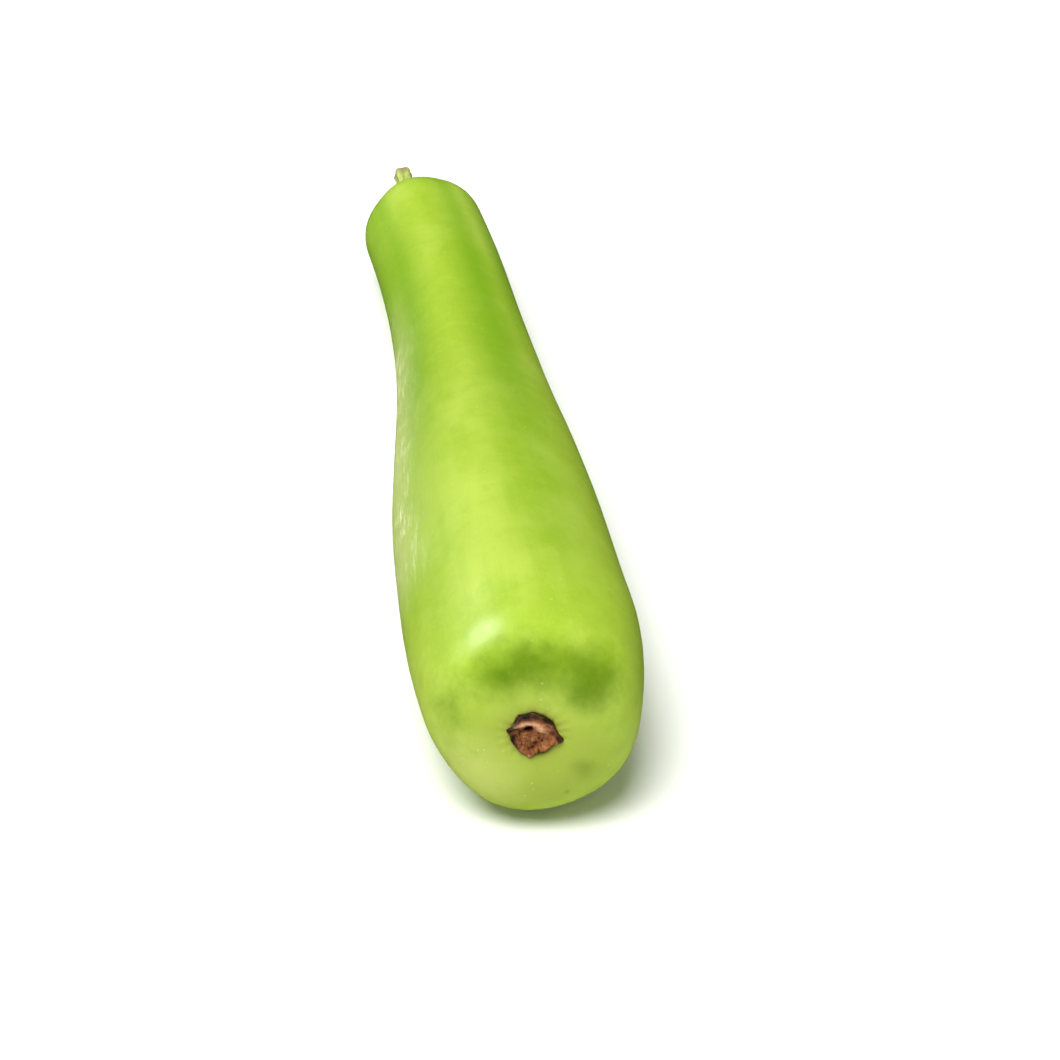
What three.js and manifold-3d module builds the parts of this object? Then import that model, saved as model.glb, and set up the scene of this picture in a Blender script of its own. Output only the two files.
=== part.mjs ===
// A bottle gourd as picked, lying on its belly and its shoulder: a green fruit with a thick
// rounded belly and a slimmer neck, a ridged cut stem, and the dried scar of the blossom.
// Millimetres, +Z up. The blossom end points to -Y and the stem to +Y. The origin is at the
// bottom centre of the whole gourd.
import * as THREE from 'three';
import { mergeVertices } from 'three/addons/utils/BufferGeometryUtils.js';
import Module from 'manifold-3d';

// Fruit: lengths along its axis are counted from the blossom end
const fruitLength = 427;
const bellyRadius = 44.5;
const neckRadius = 27;
const waistAt = 209;          // here the belly has narrowed half way to the neck
const waistBlend = 43.2;      // a larger value narrows it more slowly
const blossomTaper = 8.3;     // how much slimmer the front of the belly is
const underFill = 6;          // how much of that is filled again underneath
const taperLength = 64.5;
const blossomCap = { length: 26, power: 3 };
const stemCap = { length: 24.5, power: 3 };

// The fruit's axis bends sideways in a weak S, and the blossom end turns a little to -X and up
const bend = { bow: 8.2, sway: -31.4 };
const blossomTurn = { side: -6.7, up: 0.5, length: 63 };
const bellyRest = { at: 97, height: 42.7 };       // height of the axis over the floor
const shoulderRest = { at: 384, height: 26.9 };

// Lobes and hollows of the skin
const lobeCount = 5;
const lobeTurn = THREE.MathUtils.degToRad(106);   // the middle of one lobe, from +X towards +Z
const creaseSoftness = 0.03;
const facetDepth = 1.2;                           // how far the long flats lie below the lobes
const facetFade = { share: 0.8, length: 30 };      // the flats run out towards the stem
const furrow = { depth: 1.4, fade: 14, drop: 1.5, ring: 10.5, width: 6.5 };
const stemHollow = { depth: 4.2, radius: 8.5 };
const blossomHollow = { depth: 1.5, radius: 16 };

// Stem
const stemLength = 41;        // from the floor of the hollow to the cut
const rootDepth = 4;
const stemEnd = stemLength + rootDepth;
const stemRadius = 3.6;
const stemCollar = { swell: 2.1, at: 5.6, width: 3.8 };   // thick ring where it meets the fruit
const stemCut = { swell: 0.4, width: 3, rim: 0.6, dish: 0.8 };
const stemRibs = { count: 5, height: 0.09 };
const stemCurve = { side: 0.8, up: 4 };
const stemRows = 22;

// Blossom scar
const scarRadius = 8.3;
const scarTips = [{ at: 172, reach: 2.2 }, { at: 345, reach: 2.1 }, { at: 262, reach: 1.7 }];
const tipWidth = THREE.MathUtils.degToRad(9);
const scarWaves = [{ count: 3, height: 0.45, turn: 0.6 }, { count: 7, height: 0.35, turn: 1.5 }];
const ruffle = { height: 0.35, at: 0.85, width: 0.22, depth: 2.5 };
const scarBack = 3.9;

// Fits and fineness
const clearance = 0.3;
const fruitSides = 60;
const bodyRows = 36;
const capRows = 12;
const stemSides = 30;
const scarSides = 64;

const wasm = await Module();
wasm.setup();

// 1 at the blossom end, falling to 0 where the taper starts
function nearBlossom(along) {
  return Math.max(1 - along / taperLength, 0) ** 2;
}

// Radius of the plain fruit between its two rounded ends
function bodyRadius(along) {
  const narrowing = 1 / (1 + Math.exp((along - waistAt) / waistBlend));
  return neckRadius + (bellyRadius - neckRadius) * narrowing - blossomTaper * nearBlossom(along);
}

// Points of a rounded end, from the axis outwards: a superellipse walked by its polar angle
function capPoints(cap, distanceAlong) {
  const points = [];
  for (let i = 0; i < capRows; i += 1) {
    const angle = (i / capRows) * (Math.PI / 2);
    const reach = (Math.sin(angle) ** cap.power + Math.cos(angle) ** cap.power) ** (1 / cap.power);
    const along = distanceAlong(cap.length * (1 - Math.cos(angle) / reach));
    points.push(new THREE.Vector2(bodyRadius(along) * (Math.sin(angle) / reach), along));
  }
  return points;
}

function fruitProfile() {
  const points = capPoints(blossomCap, (depth) => depth);
  const bodyEnd = fruitLength - stemCap.length;
  for (let i = 0; i <= bodyRows; i += 1) {
    const along = THREE.MathUtils.lerp(blossomCap.length, bodyEnd, i / bodyRows);
    points.push(new THREE.Vector2(bodyRadius(along), along));
  }
  points.push(...capPoints(stemCap, (depth) => fruitLength - depth).reverse());
  return points;
}

// Centre of the fruit's axis at a distance from the blossom end
function axisPoint(along) {
  const share = along / fruitLength;
  const bow = bend.bow * share * (1 - share);
  const sway = bend.sway * share * (1 - share) * (1 - 2 * share);
  const turn = Math.max(1 - along / blossomTurn.length, 0) ** 2;
  const fall = (shoulderRest.height - bellyRest.height) / (shoulderRest.at - bellyRest.at);
  const height = bellyRest.height + fall * (along - bellyRest.at);
  return new THREE.Vector3(bow + sway + turn * blossomTurn.side, along, height + turn * blossomTurn.up);
}

// The axis with its two cross directions, near enough to +X and +Z
function axisFrame(along) {
  const step = 0.5;
  const centre = axisPoint(along);
  const forward = axisPoint(along + step).sub(axisPoint(along - step)).normalize();
  const side = new THREE.Vector3().crossVectors(forward, new THREE.Vector3(0, 0, 1)).normalize();
  const up = new THREE.Vector3().crossVectors(side, forward);
  return { centre, forward, side, up };
}

function pointIn(frame, radius, angle) {
  return frame.centre
    .clone()
    .addScaledVector(frame.side, radius * Math.cos(angle))
    .addScaledVector(frame.up, radius * Math.sin(angle));
}

function bell(value, middle, width) {
  return Math.exp(-(((value - middle) / width) ** 2));
}

// Both are 0 along the tops of the lobes: a soft wave for the long flats, and a sharper
// crease for the furrows that run into the stem's hollow
function flat(angle) {
  return 0.5 - 0.5 * Math.cos(lobeCount * (angle - lobeTurn));
}

function crease(angle) {
  const wave = Math.cos((lobeCount / 2) * (angle - lobeTurn));
  return 1 - Math.sqrt((wave ** 2 + creaseSoftness) / (1 + creaseSoftness));
}

function fruitSkin(along, radius, angle) {
  const fromStem = fruitLength - along;
  const facet = facetDepth * (1 - facetFade.share * Math.exp(-fromStem / facetFade.length));
  const depth = facet * flat(angle) + furrow.depth * Math.exp(-fromStem / furrow.fade) * crease(angle);
  const fill = underFill * nearBlossom(along) * Math.max(-Math.sin(angle), 0) ** 2;
  const skinRadius = radius * (1 + (fill - depth) / bodyRadius(along));
  let level = along;
  if (fromStem < along) {
    level -= stemHollow.depth * bell(radius, 0, stemHollow.radius);
    const nearStem = Math.min(radius / furrow.ring, 1) * bell(radius, furrow.ring, furrow.width);
    level -= furrow.drop * crease(angle) * nearStem;
  } else {
    level += blossomHollow.depth * bell(radius, 0, blossomHollow.radius);
  }
  return pointIn(axisFrame(level), skinRadius, angle);
}

// Moves the points of a lathe turned round Y to where place(along, radius, angle) says
function reshape(geometry, place) {
  const position = geometry.attributes.position;
  const point = new THREE.Vector3();
  for (let i = 0; i < position.count; i += 1) {
    point.fromBufferAttribute(position, i);
    point.copy(place(point.y, Math.hypot(point.x, point.z), Math.atan2(point.z, point.x)));
    position.setXYZ(i, point.x, point.y, point.z);
  }
  return geometry;
}

// A closed geometry as a solid that can be cut
function solidOf(geometry) {
  const plain = geometry.clone();
  plain.deleteAttribute('normal');
  plain.deleteAttribute('uv');
  const merged = mergeVertices(plain, 1e-4);
  const triangles = [];
  const index = merged.index.array;
  for (let i = 0; i < index.length; i += 3) {
    const [a, b, c] = index.slice(i, i + 3);
    if (a !== b && b !== c && c !== a) {
      triangles.push(a, b, c);
    }
  }
  const mesh = new wasm.Mesh({
    numProp: 3,
    vertProperties: new Float32Array(merged.attributes.position.array),
    triVerts: new Uint32Array(triangles),
  });
  return new wasm.Manifold(mesh);
}

function geometryOf(solid) {
  const mesh = solid.getMesh();
  const geometry = new THREE.BufferGeometry();
  geometry.setAttribute('position', new THREE.BufferAttribute(mesh.vertProperties, 3));
  geometry.setIndex(new THREE.BufferAttribute(mesh.triVerts, 1));
  geometry.computeVertexNormals();
  return geometry;
}

function named(name, solid, color, roughness) {
  const material = new THREE.MeshStandardMaterial({ color, roughness, metalness: 0 });
  const mesh = new THREE.Mesh(geometryOf(solid), material);
  mesh.name = name;
  return mesh;
}

// The stem starts inside the fruit, leaves it along the fruit's axis and curves up a little
function stemFrame(along) {
  const root = axisFrame(fruitLength - stemHollow.depth - rootDepth);
  const share = (along / stemEnd) ** 2;
  root.centre
    .addScaledVector(root.forward, along)
    .addScaledVector(root.side, stemCurve.side * share)
    .addScaledVector(root.up, stemCurve.up * share);
  return root;
}

function stemRadiusAt(along) {
  const collar = stemCollar.swell * bell(along, stemCollar.at, stemCollar.width);
  return stemRadius + collar + stemCut.swell * bell(along, stemEnd, stemCut.width);
}

function stemSolid(grow) {
  const points = [new THREE.Vector2(0, -grow)];
  for (let i = 0; i <= stemRows; i += 1) {
    const along = (i / stemRows) * (stemEnd - stemCut.rim);
    points.push(new THREE.Vector2(stemRadiusAt(along) + grow, i === 0 ? -grow : along));
  }
  points.push(new THREE.Vector2(stemRadiusAt(stemEnd) - stemCut.rim + grow, stemEnd));
  points.push(new THREE.Vector2(0, stemEnd - stemCut.dish));
  const ribs = (angle) => 1 + stemRibs.height * Math.cos(stemRibs.count * angle);
  const stem = new THREE.LatheGeometry(points, stemSides);
  return solidOf(reshape(stem, (along, radius, angle) => (
    pointIn(stemFrame(along), radius * ribs(angle), angle)
  )));
}

// Ragged outline of the scar: uneven all round, with three pointed tips
function scarOutline(angle) {
  let radius = scarRadius;
  for (const wave of scarWaves) {
    radius += wave.height * Math.cos(wave.count * angle + wave.turn);
  }
  for (const tip of scarTips) {
    const off = angle - THREE.MathUtils.degToRad(tip.at);
    radius += tip.reach * bell(Math.atan2(Math.sin(off), Math.cos(off)), 0, tipWidth);
  }
  return radius;
}

// Turns a scar profile round the blossom end. A profile runs from the front middle to the back,
// as shares of the outline and depths along the axis.
function scarSolid(profile, grow, ruffleHeight) {
  const points = profile.map(([share, along]) => new THREE.Vector2(share * scarRadius, along));
  const turned = new THREE.LatheGeometry(points, scarSides);
  return solidOf(reshape(turned, (along, radius, angle) => {
    const share = radius / scarRadius;
    const edge = THREE.MathUtils.smoothstep(share, 0.3, 0.8);
    const reach = share * THREE.MathUtils.lerp(scarRadius, scarOutline(angle), edge) + grow * edge;
    const nearFront = Math.max(1 - along / ruffle.depth, 0) * bell(share, ruffle.at, ruffle.width);
    const wave = Math.sin(5 * angle + 1) + 0.6 * Math.cos(8 * angle);
    return pointIn(axisFrame(along + ruffleHeight * nearFront * wave), reach, angle);
  }));
}

// A sunken middle with a crumpled ring round it, and a flat back
function blossomScar() {
  const profile = [
    [0, 3.1], [0.16, 2.8], [0.26, 1.6], [0.38, 1.5], [0.54, 1.9], [0.7, 1.4],
    [0.84, 0.5], [0.94, 0.1], [1, 0.6], [1, 1.6], [0.98, 3], [0.84, scarBack], [0, scarBack],
  ];
  return scarSolid(profile, 0, ruffle.height);
}

// Room for the scar in the fruit, open to the front
function scarPit() {
  const floor = scarBack + clearance;
  return scarSolid([[0, -6], [1, -6], [1, 1.6], [0.98, 3.1], [0.85, floor], [0, floor]], clearance, 0);
}

// The fruit with its two seats, cut flat where it rests on the floor
function fruit() {
  const body = solidOf(reshape(new THREE.LatheGeometry(fruitProfile(), fruitSides), fruitSkin));
  const below = new THREE.BoxGeometry(4 * bellyRadius, 2 * fruitLength, bellyRadius);
  below.translate(0, fruitLength / 2, -bellyRadius / 2);
  return body.subtract(stemSolid(clearance)).subtract(scarPit()).subtract(solidOf(below));
}

const gourd = new THREE.Group();
gourd.add(named('fruit', fruit(), 0xb4d84c, 0.45));
gourd.add(named('stem', stemSolid(0), 0xa9bf5c, 0.7));
gourd.add(named('blossom_scar', blossomScar(), 0x6f4c29, 0.9));

const middle = new THREE.Box3().setFromObject(gourd).getCenter(new THREE.Vector3());
gourd.position.set(-middle.x, -middle.y, 0);

export default gourd;
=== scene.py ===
import math
import bmesh
import bpy
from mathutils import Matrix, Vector, noise


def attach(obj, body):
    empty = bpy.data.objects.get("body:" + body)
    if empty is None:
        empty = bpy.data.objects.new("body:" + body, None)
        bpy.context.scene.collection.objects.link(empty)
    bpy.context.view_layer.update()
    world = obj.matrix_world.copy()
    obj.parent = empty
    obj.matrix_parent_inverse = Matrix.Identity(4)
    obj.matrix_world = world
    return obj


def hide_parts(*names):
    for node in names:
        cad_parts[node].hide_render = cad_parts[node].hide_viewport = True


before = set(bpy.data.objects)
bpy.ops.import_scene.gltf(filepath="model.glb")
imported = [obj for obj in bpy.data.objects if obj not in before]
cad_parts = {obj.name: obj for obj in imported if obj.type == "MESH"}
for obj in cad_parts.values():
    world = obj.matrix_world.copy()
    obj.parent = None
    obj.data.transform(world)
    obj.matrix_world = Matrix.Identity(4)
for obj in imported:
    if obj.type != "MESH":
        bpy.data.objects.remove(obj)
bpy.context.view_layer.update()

# A bottle gourd lying on its belly and shoulder. Metres, +Z up, blossom end to -Y, stem to +Y.
# The fruit, the stem and the blossom scar are each a fine mesh that replaces the plain solid.

fruitShape = {
    "length": 0.427,
    "bellyRadius": 0.0445,
    "neckRadius": 0.027,
    "waistAt": 0.209,             # the belly has narrowed half way to the neck here
    "waistBlend": 0.0432,
    "blossomTaper": 0.0083,       # how much slimmer the front of the belly is
    "underFill": 0.006,           # how much of that is filled again underneath
    "taperLength": 0.0645,
    "blossomCap": (0.026, 3.0),   # length and roundness of each end
    "stemCap": (0.0245, 3.0),
    "bow": 0.0082,                # sideways bend of the axis
    "sway": -0.0314,              # and its weak S
    "blossomTurn": (-0.0067, 0.0005, 0.063),   # sideways, up, over this length
    "bellyRest": (0.097, 0.0427),              # distance along, height of the axis
    "shoulderRest": (0.384, 0.0269),
    "lobes": 5,
    "lobeTurn": math.radians(106),    # the top of one lobe
    "creaseSoftness": 0.03,
    "facetDepth": 0.0012,         # how far the long flats lie below the lobes
    "facetFade": (0.8, 0.03),     # the flats run out towards the stem: share and length
    # Furrows between the lobes: their depth on the shoulder and how fast it fades, then how far they
    # drop into the rim of the stem's hollow, a ring of this radius and width
    "furrow": {"depth": 0.0014, "fade": 0.014, "drop": 0.0015, "ring": 0.0105, "width": 0.0065},
    "stemHollow": (0.0042, 0.0085),            # depth and radius
    "blossomHollow": (0.0015, 0.016),
}


# Small helpers
def mix(low, high, share):
    return low + (high - low) * share


def bell(value, middle, width):
    return math.exp(-((value - middle) / width) ** 2)


def smooth(value, low, high):
    share = min(max((value - low) / (high - low), 0.0), 1.0)
    return share * share * (3 - 2 * share)


def turnFrom(angle, middle):
    # The shorter way round from the middle to the angle
    return math.atan2(math.sin(angle - middle), math.cos(angle - middle))


def srgb(red, green, blue):
    # A colour as seen on screen, 0 to 255, in the linear values that shaders take
    def linear(part):
        part /= 255
        return part / 12.92 if part <= 0.04045 else ((part + 0.055) / 1.055) ** 2.4
    return (linear(red), linear(green), linear(blue), 1.0)


# The form of the fruit
def nearBlossom(along):
    # 1 at the blossom end, falling to 0 where the taper starts
    return max(1 - along / fruitShape["taperLength"], 0) ** 2


def bodyRadius(along):
    shape = fruitShape
    narrowing = 1 / (1 + math.exp((along - shape["waistAt"]) / shape["waistBlend"]))
    belly = (shape["bellyRadius"] - shape["neckRadius"]) * narrowing
    return shape["neckRadius"] + belly - shape["blossomTaper"] * nearBlossom(along)


def axisPoint(along):
    shape = fruitShape
    share = along / shape["length"]
    bow = shape["bow"] * share * (1 - share)
    sway = shape["sway"] * share * (1 - share) * (1 - 2 * share)
    turnSide, turnUp, turnLength = shape["blossomTurn"]
    turn = max(1 - along / turnLength, 0) ** 2
    bellyAt, bellyHeight = shape["bellyRest"]
    shoulderAt, shoulderHeight = shape["shoulderRest"]
    fall = (shoulderHeight - bellyHeight) / (shoulderAt - bellyAt)
    height = bellyHeight + fall * (along - bellyAt)
    return Vector((bow + sway + turn * turnSide, along, height + turn * turnUp))


def axisFrame(along):
    step = 0.0005
    forward = (axisPoint(along + step) - axisPoint(along - step)).normalized()
    side = forward.cross(Vector((0, 0, 1))).normalized()
    return {"centre": axisPoint(along), "forward": forward, "side": side, "up": side.cross(forward)}


def pointIn(place, radius, angle):
    outwards = place["side"] * math.cos(angle) + place["up"] * math.sin(angle)
    return place["centre"] + outwards * radius


def flat(angle):
    # 0 along the tops of the lobes and 1 in the middle of the long flats between them
    return 0.5 - 0.5 * math.cos(fruitShape["lobes"] * (angle - fruitShape["lobeTurn"]))


def crease(angle):
    # The same, but sharper, for the furrows that run into the hollow round the stem
    softness = fruitShape["creaseSoftness"]
    wave = math.cos(fruitShape["lobes"] / 2 * (angle - fruitShape["lobeTurn"]))
    return 1 - math.sqrt((wave * wave + softness) / (1 + softness))


def capProfile(cap, rows):
    # Share of the radius and depth from the tip, walked by the polar angle of a superellipse
    length, power = cap
    for row in range(rows):
        angle = row / rows * math.pi / 2
        reach = (math.sin(angle) ** power + math.cos(angle) ** power) ** (1 / power)
        yield math.sin(angle) / reach, length * (1 - math.cos(angle) / reach)


def fruitProfile(capRows, bodyRows):
    length = fruitShape["length"]
    blossomCap, stemCap = fruitShape["blossomCap"], fruitShape["stemCap"]
    points = [(bodyRadius(depth) * share, depth) for share, depth in capProfile(blossomCap, capRows)]
    for row in range(bodyRows + 1):
        along = mix(blossomCap[0], length - stemCap[0], row / bodyRows)
        points.append((bodyRadius(along), along))
    stemEnd = [(bodyRadius(length - depth) * share, length - depth)
               for share, depth in capProfile(stemCap, capRows)]
    return points + stemEnd[::-1]


# Meshes turned round Y, then moved point by point
def turned(profile, steps):
    bm = bmesh.new()
    chain = [bm.verts.new((radius, along, 0)) for radius, along in profile]
    edges = [bm.edges.new(pair) for pair in zip(chain, chain[1:])]
    bmesh.ops.spin(bm, geom=chain + edges, cent=(0, 0, 0), axis=(0, 1, 0), angle=math.tau,
                   steps=steps, use_merge=True)
    bmesh.ops.remove_doubles(bm, verts=bm.verts, dist=1e-7)
    bmesh.ops.recalc_face_normals(bm, faces=bm.faces)
    return bm


def places(bm):
    # Each point with its distance along the axis, its radius and its angle from +X to +Z
    for vert in bm.verts:
        yield vert, vert.co.y, math.hypot(vert.co.x, vert.co.z), math.atan2(vert.co.z, vert.co.x)


def lumps(angle, along, scaleAround, scaleAlong):
    # Noise on the piece's surface without a seam, -1 to 1
    around, up = math.cos(angle) * scaleAround, math.sin(angle) * scaleAround
    return noise.noise(Vector((around, up, along * scaleAlong)))


def finishPiece(bm, name, material, replaced):
    mesh = bpy.data.meshes.new(name)
    bmesh.ops.recalc_face_normals(bm, faces=bm.faces)
    bm.to_mesh(mesh)
    bm.free()
    mesh.shade_smooth()
    mesh.materials.append(material)
    piece = bpy.data.objects.new(name, mesh)
    bpy.context.scene.collection.objects.link(piece)
    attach(piece, "root")
    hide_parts(replaced)
    print(name, len(mesh.polygons), "faces")


# Shader maths: a value that stands for a socket and can be used in sums
class Value:
    def __init__(self, material, socket):
        self.material = material
        self.socket = socket

    def __add__(self, other):
        return self.material.maths("ADD", self, other)

    def __sub__(self, other):
        return self.material.maths("SUBTRACT", self, other)

    def __mul__(self, other):
        return self.material.maths("MULTIPLY", self, other)

    def __rsub__(self, other):
        return self.material.maths("SUBTRACT", other, self)

    __radd__ = __add__
    __rmul__ = __mul__


class Finish:
    def __init__(self, name):
        self.material = bpy.data.materials.new(name)
        self.material.use_nodes = True
        self.tree = self.material.node_tree
        self.shader = self.tree.nodes["Principled BSDF"]

    def node(self, kind, settings, inputs, output=0):
        made = self.tree.nodes.new(kind)
        for key, value in settings.items():
            setattr(made, key, value)
        for key, value in inputs.items():
            if isinstance(value, Value):
                self.tree.links.new(value.socket, made.inputs[key])
            else:
                made.inputs[key].default_value = value
        return Value(self, made.outputs[output])

    def maths(self, operation, first, second):
        return self.node("ShaderNodeMath", {"operation": operation}, {0: first, 1: second})

    def stretch(self, vector, scale):
        return self.node("ShaderNodeVectorMath", {"operation": "MULTIPLY"}, {0: vector, 1: scale})

    def turned(self, vector, rotation, scale):
        return self.node("ShaderNodeMapping", {},
                         {"Vector": vector, "Rotation": rotation, "Scale": scale})

    def distance(self, vector, centre):
        return self.node("ShaderNodeVectorMath", {"operation": "DISTANCE"},
                         {0: vector, 1: centre}, "Value")

    def between(self, value, low, high):
        return self.node("ShaderNodeMapRange", {"interpolation_type": "SMOOTHSTEP"},
                         {"Value": value, "From Min": low, "From Max": high})

    def near(self, distance, fade):
        # 1 up to the first distance of the fade and 0 past the second
        return 1 - self.between(distance, *fade)

    def noise(self, vector, scale, detail, roughness=0.5, distortion=0.0):
        return self.node("ShaderNodeTexNoise", {}, {"Vector": vector, "Scale": scale, "Detail": detail,
                         "Roughness": roughness, "Distortion": distortion})

    def cells(self, vector, scale):
        return self.node("ShaderNodeTexVoronoi", {}, {"Vector": vector, "Scale": scale}, "Distance")

    def blend(self, first, second, factor):
        return self.node("ShaderNodeMix", {"data_type": "RGBA", "clamp_factor": True},
                         {0: factor, 6: first, 7: second}, 2)

    def attribute(self, name):
        return self.node("ShaderNodeAttribute", {"attribute_name": name}, {}, "Fac")

    def objectPlace(self):
        return self.node("ShaderNodeTexCoord", {}, {}, "Object")

    def bump(self, height, distance, strength):
        return self.node("ShaderNodeBump", {},
                         {"Height": height, "Distance": distance, "Strength": strength})

    def feed(self, **inputs):
        for key, value in inputs.items():
            socket = self.shader.inputs[socketNames[key]]
            if isinstance(value, Value):
                self.tree.links.new(value.socket, socket)
            else:
                socket.default_value = value


socketNames = {
    "color": "Base Color", "roughness": "Roughness", "normal": "Normal",
    "specular": "Specular IOR Level",
    "subsurface": "Subsurface Weight", "subsurfaceRadius": "Subsurface Radius",
    "subsurfaceScale": "Subsurface Scale",
}


# Skin of the fruit: fine waxy green with long soft streaks, mottling, flecks, painted shade over
# the blossom end, a pale face round the scar and pale scuffs down the left side with a painted sheen
# along that rim
skinSettings = {
    "green": srgb(161, 193, 52),
    "palerGreen": srgb(183, 208, 80),
    "deepGreen": srgb(126, 170, 20),
    "furrowGreen": srgb(108, 162, 8),
    "facePale": srgb(156, 174, 62),
    # painted shade over the blossom end, and the colour of the two dark marks
    "shadeAndMarkGreen": srgb(90, 124, 3),
    "fleck": srgb(206, 222, 130),
    # pale scuffs, and a painted sheen along the left rim
    "scuffAndSheen": srgb(232, 234, 178),
    "lowerPale": srgb(188, 202, 100),
    "olive": srgb(150, 148, 60),
    # Scale, detail and roughness of each noise
    "broad": (26.0, 3.0),
    "cloudy": (44.0, 4.0, 0.6),
    "streaks": (150.0, 4.0, 0.55),
    "mottle": (120.0, 5.0, 0.62),
    "fine": (900.0, 3.0),
    "scratches": (720.0, 5.0, 0.7),
    "rubbed": (75.0, 2.0),
    "fleckClusters": (60.0, 3.0),
    "fleckCells": 210.0,             # scale only
    # Places on the end face: distance along, radius, angle in degrees
    "face": (0.0005, 0.010, 270),
    "lowPatch": (0.005, 0.0305, 222),
    # The same for the small dark marks, with the size and strength of each
    "marks": [(0.0023, 0.0229, 319, 0.007, 0.4), (0.0045, 0.0285, 294, 0.002, 0.8)],
    # Distances over which each patch fades
    "faceFade": (0.015, 0.038),
    "lowPatchFade": (0.004, 0.026),
    "scarRimFade": (0.0086, 0.0125),
    "stemFade": (0.010, 0.045),
    "roughness": 0.34,
    "specular": 0.25,
    "bump": (0.0005, 0.3),           # distance and strength

    # Painted shade over the blossom end, where its top turns down to the face: radius, angle, both
    # widths and strength of each patch
    "endShade": [
        (0.0265, 86, 0.0105, 42, 0.74),
        (0.0260, 116, 0.0085, 24, 0.58),
        (0.0330, 168, 0.0120, 36, 0.52),
        (0.0285, 44, 0.0110, 24, 0.82),
        (0.0240, 32, 0.0080, 18, 0.4),
    ],
    "endShadeFade": (0.008, 0.034),
    # Scuffs and a painted pale sheen down the left side, and the greener furrows and flats and the
    # painted
    # shade on the sides of the neck: distances along the axis between which each one fades in or out,
    # and angles round it in degrees
    "scuffsAndSheenAt": (164, 20),           # angle and width
    "scuffsAndSheenStart": (0.06, 0.11),
    "scuffsAndSheenEnd": (0.25, 0.35),
    "creaseEdge": (0.25, 1.0),       # how much of each crease is green near the stem
    "creaseFade": 0.05,              # the green of the flats turns into that of the creases over this
    "shadedSides": (98, 24, 62),           # top of the neck, and how far from it the painted shade on its sides starts and ends
    "sideShadeShare": 0.85,
    "sideShadeStart": (0.22, 0.34),
    "greenShares": (0.42, 0.76, 0.8),    # on the belly, on the neck, and what is left at the stem
    "neckStart": (0.12, 0.26),
    "greenStart": (0.02, 0.09),

    # Relief of the fine mesh
    "swell": (0.0006, 1.6, 22),      # slow unevenness: height, scale around and along
    "dent": (0.00012, 7, 110),       # fine unevenness
    "smoothEnds": (0.004, 0.02),     # both fade out between these radii at the ends
    "pucker": (0.0002, 17, 0.0105, 0.0035),    # folds round the scar: height, count, radius, width
    "scarSeat": (0.0026, 0.0066, 0.0086),      # depth, inner and outer radius
    "stemSeat": (0.003, 0.0036, 0.0054),
    "capRows": 48, "bodyRows": 150, "sides": 180,
}


def facePlace(along, radius, degrees, shift):
    return pointIn(axisFrame(along), radius, math.radians(degrees)) + shift


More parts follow.
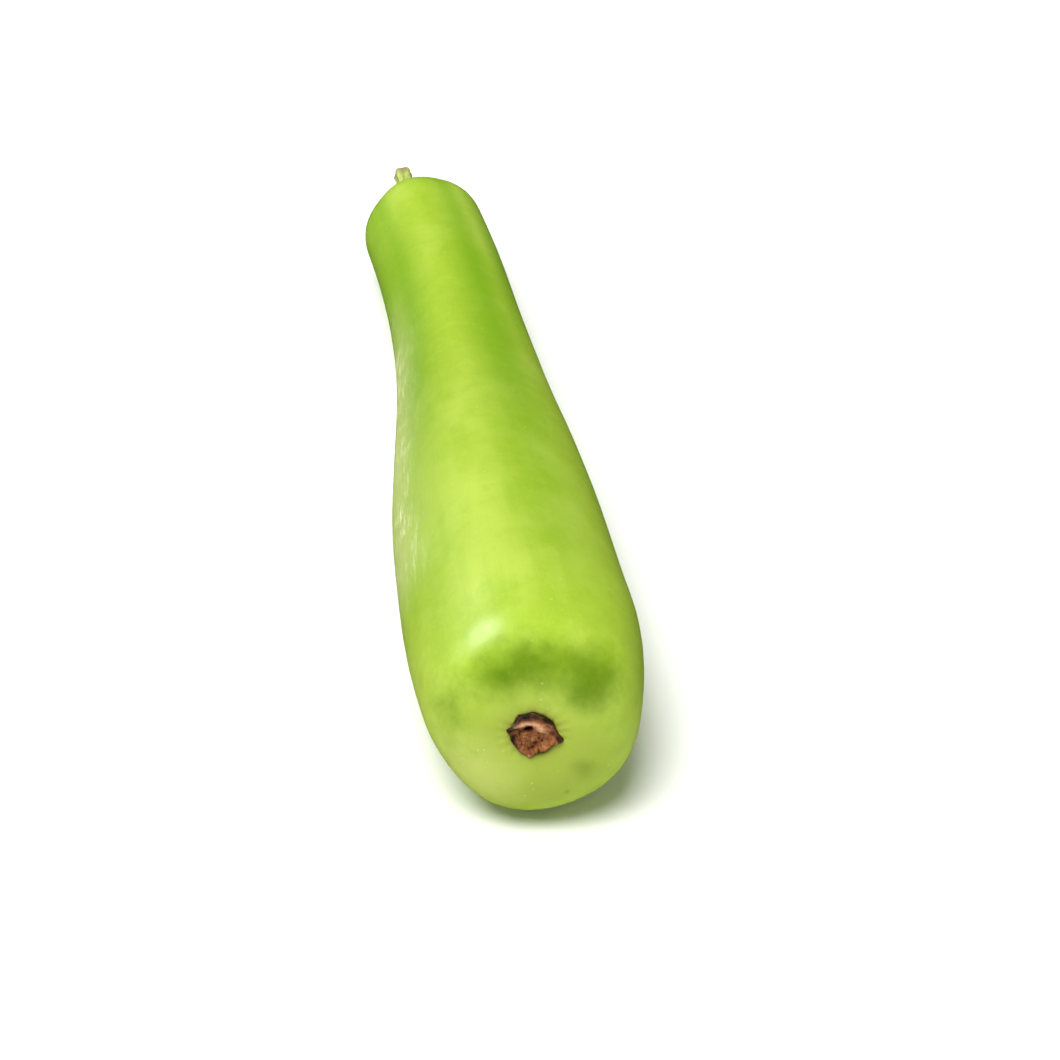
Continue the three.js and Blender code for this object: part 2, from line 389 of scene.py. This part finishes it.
def skinFinish(scarCentre, stemCentre, shift):
    look = skinSettings
    skin = Finish("gourdSkin")
    place = skin.objectPlace()
    broad = skin.noise(skin.stretch(place, (1.0, 0.3, 1.0)), *look["broad"])
    cloudy = skin.noise(skin.stretch(place, (1.0, 0.8, 1.0)), *look["cloudy"])
    streaks = skin.noise(skin.stretch(place, (1.0, 0.08, 1.0)), *look["streaks"])
    mottle = skin.noise(place, *look["mottle"])
    fine = skin.noise(place, *look["fine"])

    # Greens, from the broad patches to the fine grain
    # greener flats and furrows, and the painted shade on the sides of the neck
    furrow = skin.attribute("furrow")
    palePatches = skin.between(broad + (cloudy - 0.5) * 0.4, 0.38, 0.68)
    color = skin.blend(look["green"], look["palerGreen"], palePatches)
    color = skin.blend(color, look["deepGreen"], skin.between(streaks, 0.48, 0.8) * 0.2)
    color = skin.blend(color, look["furrowGreen"], furrow * 0.85)
    paleMottle = (1 - skin.between(mottle, 0.25, 0.5)) * (1 - furrow)
    color = skin.blend(color, look["palerGreen"], paleMottle * 0.3)
    color = skin.blend(color, look["deepGreen"], skin.between(mottle, 0.5, 0.75) * 0.22)
    color = skin.blend(color, look["palerGreen"], skin.between(fine, 0.5, 0.8) * (1 - furrow) * 0.3)

    # End face: pale round the scar, paler low on the left, painted shade over the top, two dark marks
    toFace = skin.distance(place, facePlace(*look["face"], shift)) + (broad - 0.5) * 0.02
    color = skin.blend(color, look["facePale"], skin.near(toFace, look["faceFade"]) * 0.9)
    toLow = skin.distance(place, facePlace(*look["lowPatch"], shift)) + (mottle - 0.5) * 0.01
    color = skin.blend(color, look["lowerPale"], skin.near(toLow, look["lowPatchFade"]) * 0.8)
    # painted shade where the top of the end turns down to the face
    endShade = skin.attribute("endShade") + (mottle - 0.5) * 0.5 + (cloudy - 0.5) * 0.3
    color = skin.blend(color, look["shadeAndMarkGreen"], skin.between(endShade, 0.06, 0.98) * 0.98)
    for along, radius, degrees, size, strength in look["marks"]:
        toMark = skin.distance(place, facePlace(along, radius, degrees, shift)) + (mottle - 0.5) * size
        color = skin.blend(color, look["shadeAndMarkGreen"], skin.near(toMark, (0.0, size)) * strength)
    nearScar = skin.near(skin.distance(place, scarCentre), look["scarRimFade"])
    color = skin.blend(color, look["olive"], nearScar * skin.between(mottle, 0.3, 0.6) * 0.7)
    nearStem = skin.near(skin.distance(place, stemCentre), look["stemFade"])
    color = skin.blend(color, look["furrowGreen"], nearStem * 0.2)

    # Pale scuffs, more of them in rubbed patches, over an even pale wash down the left rim that is a
    # painted sheen, and clusters of small flecks
    scratches = skin.noise(skin.turned(place, (0.9, 0.0, 0.5), (1.0, 0.09, 1.0)), *look["scratches"])
    patches = skin.noise(skin.turned(place, (0.9, 0.0, 0.3), (1.0, 0.4, 1.0)), *look["rubbed"])
    rubbed = skin.between(patches, 0.4, 0.62)
    worn = skin.between(mottle + (scratches - 0.5) * 1.8, 0.42, 0.8)
    # scuffs where worn and rubbed, and an even share that paints a pale sheen along the left rim
    scuffsAndSheen = skin.attribute("scuffAndSheen") * (rubbed * worn * 0.45 + worn * 0.2 + 0.3)
    color = skin.blend(color, look["scuffAndSheen"], scuffsAndSheen)
    flecks = 1 - skin.between(skin.cells(place, look["fleckCells"]), 0.06, 0.16)
    clusters = skin.between(skin.noise(place, *look["fleckClusters"]), 0.48, 0.66)
    color = skin.blend(color, look["fleck"], flecks * clusters * 0.35)

    relief = mottle * 0.6 + fine * 0.3 + streaks * 0.5 + scratches * 0.4
    roughness = skin.between(mottle, 0.2, 0.8) * 0.08 + scuffsAndSheen * 0.15 + look["roughness"]
    skin.feed(color=color, roughness=roughness, normal=skin.bump(relief, *look["bump"]),
              specular=look["specular"], subsurface=0.1, subsurfaceRadius=(0.6, 1.0, 0.15),
              subsurfaceScale=0.003)
    return skin.material


# Painted shade over the blossom end, strongest where its top turns down to the face
def endShadeStrength(along, radius, angle):
    clear = 1.0
    for atRadius, atAngle, radiusWidth, angleWidth, strength in skinSettings["endShade"]:
        across = turnFrom(angle, math.radians(atAngle))
        patch = bell(radius, atRadius, radiusWidth) * bell(across, 0, math.radians(angleWidth))
        clear *= 1 - strength * patch
    return (1 - clear) * (1 - smooth(along, *skinSettings["endShadeFade"]))


# Where the scuffs and the painted pale sheen lie: down the left side
def scuffAndSheenStrength(along, angle):
    skin = skinSettings
    middle, width = [math.radians(part) for part in skin["scuffsAndSheenAt"]]
    around = bell(turnFrom(angle, middle), 0, width)
    return around * smooth(along, *skin["scuffsAndSheenStart"]) * (1 - smooth(along, *skin["scuffsAndSheenEnd"]))


def greenAndShadeStrength(along, angle):
    # The flats and furrows are greener, and on the neck painted shade darkens its sides away from the
    # lit top
    skin = skinSettings
    nearStem = math.exp((along - fruitShape["length"]) / skin["creaseFade"])
    folded = mix(flat(angle), smooth(crease(angle), *skin["creaseEdge"]), nearStem)
    neckTop, sideStart, sideEnd = [math.radians(part) for part in skin["shadedSides"]]
    # painted shade: the neck's sides darker the further they turn from its lit top
    shadedSides = smooth(abs(angle - neckTop), sideStart, sideEnd)
    sideShadeShare = skin["sideShadeShare"] * smooth(along, *skin["sideShadeStart"])
    folded = mix(folded, max(folded, shadedSides), sideShadeShare)
    onBelly, onNeck, atStem = skin["greenShares"]
    strength = mix(onBelly, onNeck, smooth(along, *skin["neckStart"])) * mix(1, atStem, nearStem)
    return strength * folded * smooth(along, *skin["greenStart"])


def unevenness(along, radius, angle):
    depth = 0
    for height, scaleAround, scaleAlong in (skinSettings["swell"], skinSettings["dent"]):
        depth += height * (0.5 + 0.5 * lumps(angle, along, scaleAround, scaleAlong))
    return depth * smooth(radius, *skinSettings["smoothEnds"])


def hollowAt(radius, hollow, seat):
    # How far an end's hollow, and the seat in it for the stem or the scar, sink in at this radius
    hollowDepth, hollowRadius = hollow
    seatDepth, seatInner, seatOuter = seat
    inSeat = 1 - smooth(radius, seatInner, seatOuter)
    return hollowDepth * bell(radius, 0, hollowRadius) + seatDepth * inSeat


def puckers(radius, angle):
    height, count, middle, width = skinSettings["pucker"]
    folds = 0.5 + 0.5 * math.sin(count * angle + 3 * math.sin(2 * angle))
    return height * folds * bell(radius, middle, width)


def makeFruit(material, shift):
    shape, skin = fruitShape, skinSettings
    furrow = shape["furrow"]
    fadeShare, fadeLength = shape["facetFade"]
    bm = turned(fruitProfile(skin["capRows"], skin["bodyRows"]), skin["sides"])
    layers = {name: bm.verts.layers.float.new(name) for name in ("furrow", "endShade", "scuffAndSheen")}
    for vert, along, radius, angle in places(bm):
        fromStem = shape["length"] - along
        fold = crease(angle)
        facet = shape["facetDepth"] * (1 - fadeShare * math.exp(-fromStem / fadeLength))
        depth = facet * flat(angle) + furrow["depth"] * math.exp(-fromStem / furrow["fade"]) * fold
        depth += unevenness(along, radius, angle)
        fill = shape["underFill"] * nearBlossom(along) * max(-math.sin(angle), 0) ** 2
        skinRadius = radius * (1 + (fill - depth) / bodyRadius(along))
        level = along
        if fromStem < along:
            level -= hollowAt(radius, shape["stemHollow"], skin["stemSeat"])
            onRing = min(radius / furrow["ring"], 1) * bell(radius, furrow["ring"], furrow["width"])
            level -= furrow["drop"] * fold * onRing
        else:
            level += hollowAt(radius, shape["blossomHollow"], skin["scarSeat"])
            level += puckers(radius, angle)
        point = pointIn(axisFrame(level), skinRadius, angle)
        point.z = max(point.z, 0)    # flat where it lies
        vert.co = point + shift
        # greener flats and furrows, and painted shade on the sides of the neck
        vert[layers["furrow"]] = greenAndShadeStrength(along, angle)
        # painted shade over the blossom end
        vert[layers["endShade"]] = endShadeStrength(along, radius, angle)
        # scuffs and the painted pale sheen down the left rim
        vert[layers["scuffAndSheen"]] = scuffAndSheenStrength(along, angle)
    finishPiece(bm, "gourdFruit", material, "fruit")


# Stem: ribbed and a little twisted, thick where it leaves the fruit, with a hollow cut end
stemSettings = {
    "length": 0.041, "rootDepth": 0.004, "radius": 0.0036,
    "collar": (0.0021, 0.0056, 0.0038),    # swell, place and width of the thick ring at the root
    "cut": (0.0004, 0.003),                # swell and width at the cut end
    "cutRim": 0.0006,                      # how far its edge is rounded
    # The cut face inwards from the rim: share of the radius, depth
    "cutFace": [(0.7, 0.0003), (0.45, 0.0002), (0.3, 0.0008), (0.15, 0.0013), (0.0, 0.0014)],
    "ribs": (5, 0.09),                     # count and height, as a share of the radius
    "fineRibs": 0.018, "lumps": 0.04, "twist": 6,
    "slimmer": 0.985,                      # keeps the ribbed stem inside the plain one
    "curve": (0.0008, 0.004),              # sideways and up at the cut end
    "sides": 96, "rows": 90,
    "fibreColor": srgb(160, 182, 74), "paleFibreColor": srgb(206, 216, 118),
    # the groove colour is painted shade between the ribs
    "grooveShadeColor": srgb(118, 142, 52), "dryColor": srgb(168, 160, 92),
    "rootColor": srgb(126, 128, 62), "cutColor": srgb(140, 126, 84),
    "rootFade": (0.006, 0.012), "cutFade": (0.0034, 0.0058),
    "fibreNoise": (1600.0, 4.0, 0.6), "patchNoise": (220.0, 4.0),    # scale, detail, roughness
}
stemReach = stemSettings["length"] + stemSettings["rootDepth"]


def stemFinish(cutCentre, rootCentre):
    look = stemSettings
    stem = Finish("gourdStem")
    place = stem.objectPlace()
    fibres = stem.noise(stem.stretch(place, (1.0, 0.12, 1.0)), *look["fibreNoise"])
    patches = stem.noise(place, *look["patchNoise"])
    ribs = stem.attribute("rib")
    color = stem.blend(look["fibreColor"], look["paleFibreColor"], stem.between(fibres, 0.35, 0.7))
    # painted shade in the grooves between the ribs
    color = stem.blend(color, look["grooveShadeColor"], (1 - ribs) * 0.55)
    color = stem.blend(color, look["dryColor"], stem.between(patches, 0.52, 0.72) * 0.5)
    nearRoot = stem.near(stem.distance(place, rootCentre), look["rootFade"])
    color = stem.blend(color, look["rootColor"], nearRoot * stem.between(patches, 0.3, 0.6) * 0.7)
    nearCut = stem.near(stem.distance(place, cutCentre), look["cutFade"])
    color = stem.blend(color, look["cutColor"], nearCut * 0.8)
    stem.feed(color=color, roughness=stem.between(fibres, 0.2, 0.8) * 0.2 + 0.55,
              normal=stem.bump(fibres * 0.7 + patches * 0.3, 0.0004, 0.5), subsurface=0.05,
              subsurfaceRadius=(0.6, 1.0, 0.3), subsurfaceScale=0.002)
    return stem.material


def stemPlace(along):
    place = axisFrame(fruitShape["length"] - fruitShape["stemHollow"][0] - stemSettings["rootDepth"])
    share = (along / stemReach) ** 2
    side, up = stemSettings["curve"]
    bend = place["side"] * (side * share) + place["up"] * (up * share)
    place["centre"] += place["forward"] * along + bend
    return place


def stemRadiusAt(along):
    collarSwell, collarAt, collarWidth = stemSettings["collar"]
    cutSwell, cutWidth = stemSettings["cut"]
    collar = collarSwell * bell(along, collarAt, collarWidth)
    return stemSettings["radius"] + collar + cutSwell * bell(along, stemReach, cutWidth)


def stemProfile():
    rim, rowCount = stemSettings["cutRim"], stemSettings["rows"]
    rows = [(0.0, 0.0)]
    for row in range(rowCount + 1):
        along = (stemReach - rim) * row / rowCount
        rows.append((stemRadiusAt(along), along))
    edge = stemRadiusAt(stemReach)
    rows += [(edge - rim * 0.3, stemReach - rim * 0.3), (edge - rim, stemReach)]
    return rows + [(edge * share, stemReach - depth) for share, depth in stemSettings["cutFace"]]


def makeStem(material, shift):
    shape = stemSettings
    bm = turned(stemProfile(), shape["sides"])
    ribLayer = bm.verts.layers.float.new("rib")
    count, height = shape["ribs"]
    for vert, along, radius, angle in places(bm):
        twisted = angle + along * shape["twist"]
        rib = 0.5 + 0.5 * math.cos(count * twisted)
        fineRib = 0.5 + 0.5 * math.cos(count * 3 * twisted + 1)
        ribbed = 1 + height * (2 * rib ** 0.8 - 1) + shape["fineRibs"] * fineRib
        ribbed += shape["lumps"] * lumps(angle, along, 2, 160)
        vert.co = pointIn(stemPlace(along), radius * ribbed * shape["slimmer"], angle) + shift
        vert[ribLayer] = rib
    finishPiece(bm, "gourdStem", material, "stem")


# Blossom scar: a ragged dried disc, rough all over, with a small deep hole beside its middle and
# a pale lip over that; painted shade darkens the hole, the low folds and the gap round its rim
scarSettings = {
    "centreAlong": 0.001,
    "radius": 0.0083,
    # Angle in degrees and reach of each pointed tip
    "tips": [(172, 0.0022), (345, 0.0017), (262, 0.0017), (126, 0.0010), (64, 0.0006)],
    "tipWidth": math.radians(9),
    "waves": [(3, 0.00045, 0.6), (7, 0.00035, 1.5)],    # count, height and turn
    # From the middle of the front round the rim to the back: share of the radius, distance along
    "profile": [(0.0, 0.0016), (0.7, 0.0014), (0.86, 0.0004), (0.94, 0.0), (1.0, 0.0004), (1.02, 0.0010),
                (1.0, 0.0018), (0.97, 0.0030), (0.84, 0.0038), (0.0, 0.0039)],
    "rowGap": 0.018,
    "frontFade": (0.0018, 0.0034),    # the crumpled front runs out between these distances
    "crumple": 0.0011,
    "hole": (-0.0019, 0.0014, 0.0019, 0.0011, 0.0021),   # side, up, half width, half height, depth
    "lip": (2.35, 0.85, 0.0008),                          # size against the hole, width, height
    "rimShadeAt": math.radians(125),                      # the painted shade round the rim is widest here
    "sides": 220,
    "brownColor": srgb(140, 88, 46), "darkBrownColor": srgb(84, 46, 24),
    "redBrownColor": srgb(108, 46, 34), "ridgeColor": srgb(182, 128, 94),
    # the colours of the low folds, the rim and the hole are painted shade
    "foldShadeColor": srgb(44, 26, 15), "rimShadeColor": srgb(36, 27, 14),
    "lipColor": srgb(212, 160, 120), "holeShadeColor": srgb(20, 9, 6),
    # Scale, detail, roughness and distortion of each noise
    "roughNoise": (420.0, 6.0, 0.65, 0.6), "grainNoise": (1500.0, 4.0, 0.6), "patchNoise": (230.0, 2.0),
}


def scarFinish():
    look = scarSettings
    scar = Finish("driedBlossom")
    place = scar.objectPlace()
    rough = scar.noise(place, *look["roughNoise"])
    grain = scar.noise(place, *look["grainNoise"])
    patches = scar.noise(place, *look["patchNoise"])
    raised = scar.attribute("raised")
    color = scar.blend(look["brownColor"], look["darkBrownColor"], scar.between(rough, 0.42, 0.64))
    color = scar.blend(color, look["redBrownColor"], scar.between(patches, 0.5, 0.68) * 0.45)
    ridges = scar.between(raised + (grain - 0.5) * 0.9, 0.55, 1.05)
    color = scar.blend(color, look["ridgeColor"], ridges * 0.75)
    # painted shade in the low folds of the crumpled front
    foldShade = 1 - scar.between(raised + (rough - 0.5) * 0.5, 0.1, 0.42)
    color = scar.blend(color, look["foldShadeColor"], foldShade * 0.85)
    # painted shade in the gap between the skin and the scar's rim, widest at the top left
    edge = scar.attribute("edge") * scar.between(rough, 0.25, 0.55)
    color = scar.blend(color, look["rimShadeColor"], edge)
    lip = scar.attribute("lip") * scar.between(grain, 0.15, 0.5)
    color = scar.blend(color, look["lipColor"], lip * 0.95)
    # painted shade: the deep hole is darkened to near black
    color = scar.blend(color, look["holeShadeColor"], scar.attribute("hollow"))
    scar.feed(color=color, roughness=0.78, normal=scar.bump(rough * 0.6 + grain * 0.4, 0.0006, 0.7),
              specular=0.3)
    return scar.material


def scarOutline(angle):
    radius = scarSettings["radius"]
    for count, height, turn in scarSettings["waves"]:
        radius += height * math.cos(count * angle + turn)
    for at, reach in scarSettings["tips"]:
        radius += reach * bell(turnFrom(angle, math.radians(at)), 0, scarSettings["tipWidth"])
    return radius


def scarRows():
    # The profile with rows between its corners, close enough for the crumpled front
    profile = scarSettings["profile"]
    rows = []
    for (share, along), (nextShare, nextAlong) in zip(profile, profile[1:]):
        steps = max(int(abs(nextShare - share) / scarSettings["rowGap"]), 2)
        for step in range(steps):
            rows.append((mix(share, nextShare, step / steps), mix(along, nextAlong, step / steps)))
    return rows + [profile[-1]]


def scarRelief(side, up, share, angle):
    # How far a point of the front stands out, with how much of it is hole, lip and crumpled ridge
    holeSide, holeUp, halfWidth, halfHeight, holeDepth = scarSettings["hole"]
    lipSize, lipWidth, lipHeight = scarSettings["lip"]
    around = math.hypot((side - holeSide) / halfWidth, (up - holeUp) / halfHeight)
    hollow = 1 - smooth(around, 0.55, 1.15)
    above = smooth(up - holeUp + 0.25 * (side - holeSide), -0.0006, 0.0008)
    lip = bell(around, lipSize, lipWidth) * above
    folds = noise.noise(Vector((side * 330, up * 330, 3.7)))
    shreds = noise.noise(Vector((side * 900, up * 900, 8.1)))
    wrinkles = math.sin(9 * angle + 9 * folds) * smooth(share, 0.4, 0.8)
    raised = 0.5 + 0.5 * folds + 0.4 * shreds + 0.06 * wrinkles
    crumple = scarSettings["crumple"] * (raised - 0.5) * (1 - 0.8 * smooth(share, 0.72, 0.95))
    out = crumple - holeDepth * hollow + lipHeight * lip
    return out, hollow, lip, raised


def makeScar(material, shift):
    shape = scarSettings
    scale = 0.01    # the profile's radius is a share of the outline, so it is turned at this size
    bm = turned([(share * scale, along) for share, along in scarRows()], shape["sides"])
    layers = {name: bm.verts.layers.float.new(name) for name in ("hollow", "lip", "raised", "edge")}
    for vert, along, radius, angle in places(bm):
        share = radius / scale
        reach = share * mix(shape["radius"], scarOutline(angle), smooth(share, 0.3, 0.8))
        front = 1 - smooth(along, *shape["frontFade"])
        side, up = reach * math.cos(angle), reach * math.sin(angle)
        out, hollow, lip, raised = scarRelief(side, up, share, angle)
        vert.co = pointIn(axisFrame(along - front * out), reach, angle) + shift
        # the hole's depth, which also carries its painted shade
        vert[layers["hollow"]] = front * hollow
        vert[layers["lip"]] = front * lip
        vert[layers["raised"]] = mix(0.3, raised, front)
        # the painted shade in the gap round the rim is widest at the top left
        wide = smooth(math.cos(angle - shape["rimShadeAt"]), -0.5, 0.7)
        vert[layers["edge"]] = smooth(share, mix(0.93, 0.66, wide), mix(1.05, 0.86, wide))
    finishPiece(bm, "blossomScar", material, "blossom_scar")


# Floor, light and camera
stageSettings = {
    "floorSize": 14.0, "floor": (0.93, 0.93, 0.92, 1.0), "skyStrength": 0.25,
    "sunStrength": 4.0, "sunAngle": math.radians(36), "sunFrom": (-0.23, -0.34, 0.9),
    "panelSize": (0.64, 0.64), "panelPower": 25.0, "panelFrom": (-0.72, 0.37, 0.72),
    "litAlong": 0.0155,     # the lamps aim at the axis here
    "cameraTarget": (0.01602, -0.07363, 0.0315), "cameraDistance": 1.575,
    "cameraAzimuth": math.radians(-7.875), "cameraElevation": math.radians(33.317), "lens": 136.99,
}


def makeStage(shift):
    look = stageSettings
    bm = bmesh.new()
    bmesh.ops.create_grid(bm, x_segments=1, y_segments=1, size=look["floorSize"] / 2)
    mesh = bpy.data.meshes.new("floor")
    bm.to_mesh(mesh)
    bm.free()
    floor = bpy.data.objects.new("floor", mesh)
    bpy.context.scene.collection.objects.link(floor)
    paper = Finish("floorPaper")
    paper.feed(color=look["floor"], roughness=0.9, specular=0.1)
    mesh.materials.append(paper.material)
    floor.visible_glossy = False
    world = bpy.data.worlds.new("studio")
    world.use_nodes = True
    background = world.node_tree.nodes["Background"]
    background.inputs["Color"].default_value = (1, 1, 1, 1)
    background.inputs["Strength"].default_value = look["skyStrength"]
    world.cycles_visibility.glossy = False
    bpy.context.scene.world = world
    sun = bpy.data.lights.new("key", "SUN")
    sun.energy = look["sunStrength"]
    sun.angle = look["sunAngle"]
    panel = bpy.data.lights.new("leftPanel", "AREA")
    panel.shape = "RECTANGLE"
    panel.size, panel.size_y = look["panelSize"]
    panel.energy = look["panelPower"]
    highlight = axisPoint(look["litAlong"]) + shift
    for light, source in ((sun, look["sunFrom"]), (panel, look["panelFrom"])):
        lamp = bpy.data.objects.new(light.name, light)
        lamp.location = Vector(source) + highlight
        lamp.rotation_euler = Vector(source).to_track_quat("Z", "X").to_euler()
        lamp.visible_camera = False
        lamp.visible_diffuse = light is sun      # the sun lights
        lamp.visible_glossy = light is panel     # and the panel makes the one soft highlight
        bpy.context.scene.collection.objects.link(lamp)
    print("stage ready")


def makeCamera():
    look = stageSettings
    azimuth, elevation = look["cameraAzimuth"], look["cameraElevation"]
    back = Vector((math.sin(azimuth) * math.cos(elevation), -math.cos(azimuth) * math.cos(elevation),
                   math.sin(elevation)))
    data = bpy.data.cameras.new("camera")
    data.lens = look["lens"]
    data.sensor_width = 36
    data.clip_end = 50
    camera = bpy.data.objects.new("camera", data)
    camera.location = Vector(look["cameraTarget"]) + back * look["cameraDistance"]
    camera.rotation_euler = back.to_track_quat("Z", "Y").to_euler()
    bpy.context.scene.collection.objects.link(camera)
    bpy.context.scene.camera = camera
    print("camera ready")


# The frame's origin is under the middle of the whole gourd, so everything moves by one shift
shift = Vector((0.0023612, -0.2311367, 0))
scarCentre = axisPoint(scarSettings["centreAlong"]) + shift
rootCentre = stemPlace(stemSettings["rootDepth"])["centre"] + shift
cutCentre = stemPlace(stemReach)["centre"] + shift

makeFruit(skinFinish(scarCentre, rootCentre, shift), shift)
makeStem(stemFinish(cutCentre, rootCentre), shift)
makeScar(scarFinish(), shift)
makeStage(shift)
makeCamera()
bpy.context.scene.view_settings.view_transform = "Standard"
